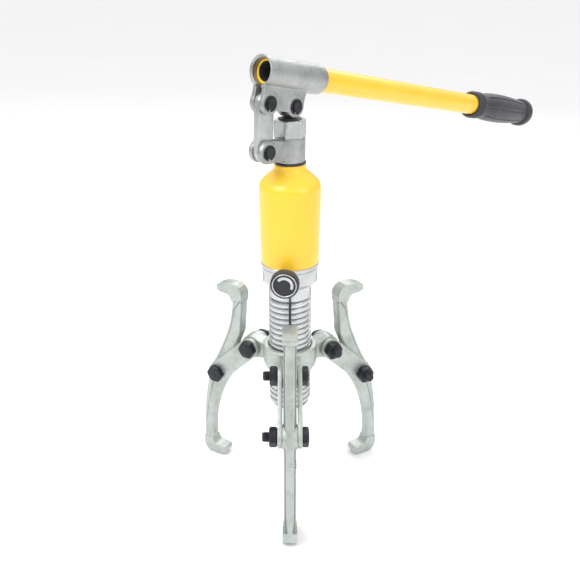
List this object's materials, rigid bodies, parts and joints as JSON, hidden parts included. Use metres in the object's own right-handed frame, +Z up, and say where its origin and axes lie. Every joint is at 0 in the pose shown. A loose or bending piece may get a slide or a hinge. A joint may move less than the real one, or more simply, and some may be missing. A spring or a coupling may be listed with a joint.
{
  "type": "hydraulic gear puller",
  "caption": "Self-contained hydraulic gear puller: threaded cylinder with a screw-on yoke and hinged claws, oil reservoir, release knob and a swivelling hand pump with a long handle.",
  "frame": {"origin": "tip of the ram nose with the ram drawn in, on the ram axis", "axes": "+Z up along the ram axis towards the pump; -Y towards the front claw; +X to the right seen from the front; the pump handle at rest leaves between +X and +Y"},
  "size_m": [0.4144, 0.4261, 0.4619],
  "materials": {
    "bright_zinc": "bright zinc plate",
    "machined_steel": "turned and zinc plated",
    "yellow_paint": "gloss powder coat",
    "polished_steel": "ground",
    "black_steel": "black oxide",
    "spring_steel": "oiled",
    "black_seal": "matt",
    "knob_grip": "machined",
    "knob_face": "satin",
    "cast_zinc": "zinc plated casting",
    "plated_steel": "zinc plated plate",
    "black_rubber": "moulded",
    "forged_green_zinc": "zinc plated forging"
  },
  "bodies": {
    "cylinder": {"cylinder_block": "bright_zinc", "threaded_sleeve": "machined_steel", "sleeve_end_ring": "bright_zinc", "reservoir_shell": "yellow_paint", "delivery_tube": "bright_zinc", "neck_seal": "black_seal", "return_spring": "spring_steel"},
    "ram": {"ram_piston": "polished_steel", "ram_nose": "black_steel", "piston_seal": "black_seal"},
    "valve": {"valve_spindle": "bright_zinc", "valve_knob": "knob_grip", "knob_bezel": "bright_zinc", "knob_insert": "knob_face"},
    "pump_head": {"pump_body": "cast_zinc", "swivel_clip": "black_steel", "gland_nut": "bright_zinc", "gland_wiper": "black_seal", "link_pin": "black_steel", "link_pin_clips": "black_steel"},
    "plunger_rod": {"plunger": "black_steel"},
    "lever": {"lever_socket": "cast_zinc", "lever_pins": "black_steel", "lever_pin_clips": "black_steel"},
    "link": {"pump_link": "plated_steel"},
    "handle": {"handle_tube": "yellow_paint", "handle_grip": "black_rubber"},
    "bush": {"thread_bush": "machined_steel"},
    "yoke_body": {"yoke": "cast_zinc", "lug_bolts": "black_steel", "lug_nuts": "black_steel"},
    "front_pull": {"front_plate_a": "plated_steel", "front_plate_b": "plated_steel", "front_claw_bolt": "black_steel", "front_claw_nut": "black_steel"},
    "front_arm": {"front_claw": "forged_green_zinc"},
    "right_pull": {"right_plate_a": "plated_steel", "right_plate_b": "plated_steel", "right_claw_bolt": "black_steel", "right_claw_nut": "black_steel"},
    "right_arm": {"right_claw": "forged_green_zinc"},
    "left_pull": {"left_plate_a": "plated_steel", "left_plate_b": "plated_steel", "left_claw_bolt": "black_steel", "left_claw_nut": "black_steel"},
    "left_arm": {"left_claw": "forged_green_zinc"}
  },
  "joints": [
    {"name": "ram_slide", "type": "slide", "parent": "cylinder", "child": "ram", "axis": [0, 0, -1], "range_m": [0, 0.05], "stiffness_N_per_m": 400, "springref_m": -0.03, "deforming": ["return_spring"]},
    {"name": "valve_turn", "type": "hinge", "parent": "cylinder", "child": "valve", "pos_m": [0, 0, 0.166], "axis": [-0.1132, -0.9936, 0], "range_deg": [0, 360]},
    {"name": "head_swivel", "type": "hinge", "parent": "cylinder", "child": "pump_head", "pos_m": [0, 0, 0], "axis": [0, 0, 1], "continuous": true},
    {"name": "plunger_stroke", "type": "slide", "parent": "pump_head", "child": "plunger_rod", "axis": [0, 0, 1], "range_m": [0, 0.0214]},
    {"name": "lever_pump", "type": "hinge", "parent": "plunger_rod", "child": "lever", "pos_m": [0, 0, 0.32234], "axis": [0.7071, -0.7071, 0], "range_deg": [0, 38]},
    {"name": "link_swing", "type": "hinge", "parent": "lever", "child": "link", "pos_m": [-0.0223, -0.0223, 0.32933], "axis": [0.7071, -0.7071, 0], "range_deg": [-41, 0]},
    {"name": "handle_slide", "type": "slide", "parent": "lever", "child": "handle", "axis": [0.6903, 0.6903, -0.2164], "range_m": [0, 0.045]},
    {"name": "seat_turn", "type": "hinge", "parent": "bush", "child": "yoke_body", "pos_m": [0, 0, 0], "axis": [0, 0, 1], "range_deg": [-2160, 360]},
    {"name": "seat_travel", "type": "slide", "parent": "cylinder", "child": "bush", "axis": [0, 0, 1], "range_m": [-0.0362, 0.0062]},
    {"name": "front_plate_swing", "type": "hinge", "parent": "yoke_body", "child": "front_pull", "pos_m": [0, -0.0435, 0.0665], "axis": [-1, 0, 0], "range_deg": [-20, 12]},
    {"name": "front_claw_swing", "type": "hinge", "parent": "front_pull", "child": "front_arm", "pos_m": [0, -0.08629, 0.02445], "axis": [1, 0, 0], "range_deg": [-4, 30]},
    {"name": "right_plate_swing", "type": "hinge", "parent": "yoke_body", "child": "right_pull", "pos_m": [0.03767, 0.02175, 0.0665], "axis": [0.5, -0.866, 0], "range_deg": [-20, 12]},
    {"name": "right_claw_swing", "type": "hinge", "parent": "right_pull", "child": "right_arm", "pos_m": [0.07473, 0.04315, 0.02445], "axis": [-0.5, 0.866, 0], "range_deg": [-4, 30]},
    {"name": "left_plate_swing", "type": "hinge", "parent": "yoke_body", "child": "left_pull", "pos_m": [-0.03767, 0.02175, 0.0665], "axis": [0.5, 0.866, 0], "range_deg": [-20, 12]},
    {"name": "left_claw_swing", "type": "hinge", "parent": "left_pull", "child": "left_arm", "pos_m": [-0.07473, 0.04315, 0.02445], "axis": [-0.5, -0.866, 0], "range_deg": [-4, 30]}
  ],
  "couplings": [
    {"joint": "plunger_stroke", "follows": "lever_pump", "m_per_rad": 0.03156},
    {"joint": "link_swing", "follows": "lever_pump", "ratio": -1.042},
    {"joint": "seat_travel", "follows": "seat_turn", "m_per_rad": 0.00095493}
  ]
}
